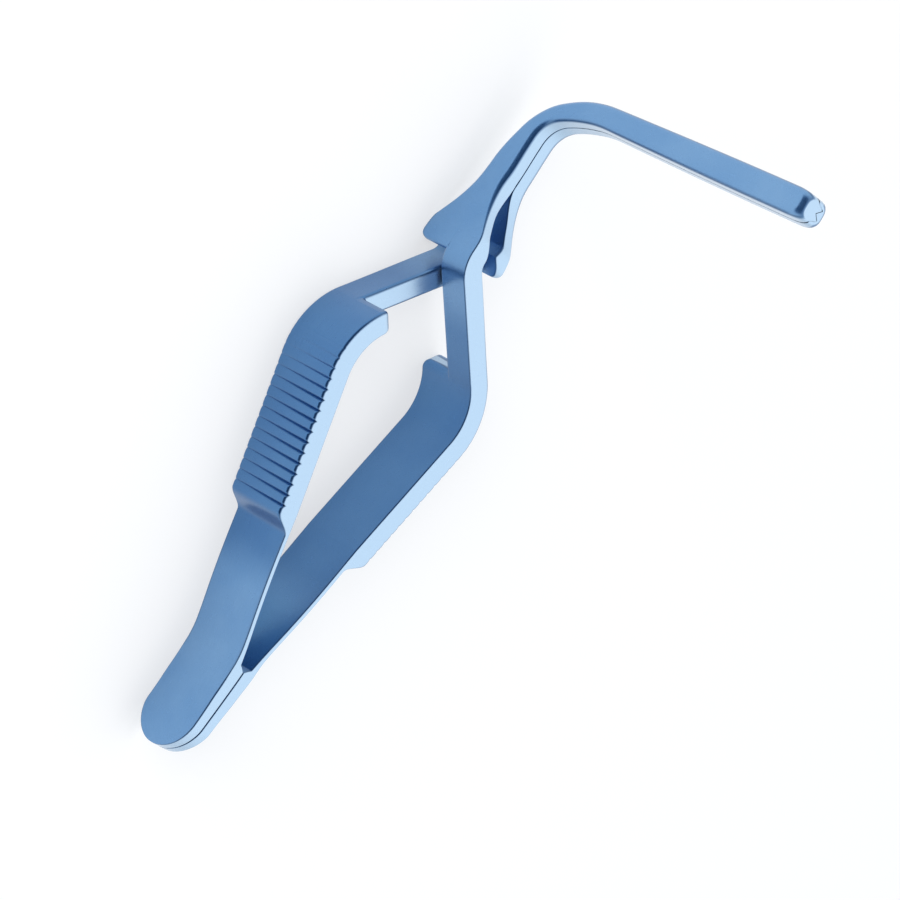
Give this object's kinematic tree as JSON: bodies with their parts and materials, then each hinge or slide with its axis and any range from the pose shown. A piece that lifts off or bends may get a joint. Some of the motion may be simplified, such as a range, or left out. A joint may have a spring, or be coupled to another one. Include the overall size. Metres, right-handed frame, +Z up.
{
  "type": "bulldog clamp",
  "caption": "Angled cross-action bulldog clamp: two welded spring arms with serrated thumb pads, crossing necks and upturned toothed jaws.",
  "frame": {"origin": "middle of the bounding box on the ground, under the clamp as it lies flat with its jaws pointing up", "axes": "+Y from the welded butt to the jaws, +Z up along the jaws, X across the two arms"},
  "size_m": [0.0306, 0.1042, 0.0551],
  "materials": {
    "blue_titanium": "satin anodised titanium"
  },
  "bodies": {
    "left_arm": {"left_arm": "blue_titanium"},
    "right_arm": {"right_arm": "blue_titanium"}
  },
  "joints": [
    {"name": "arm_squeeze", "type": "hinge", "parent": "left_arm", "child": "right_arm", "pos_m": [0, -0.03818, 0.0052], "axis": [0, 0, 1], "range_deg": [0, 16], "stiffness_Nm_per_rad": 0.9, "springref_deg": -10.31}
  ]
}
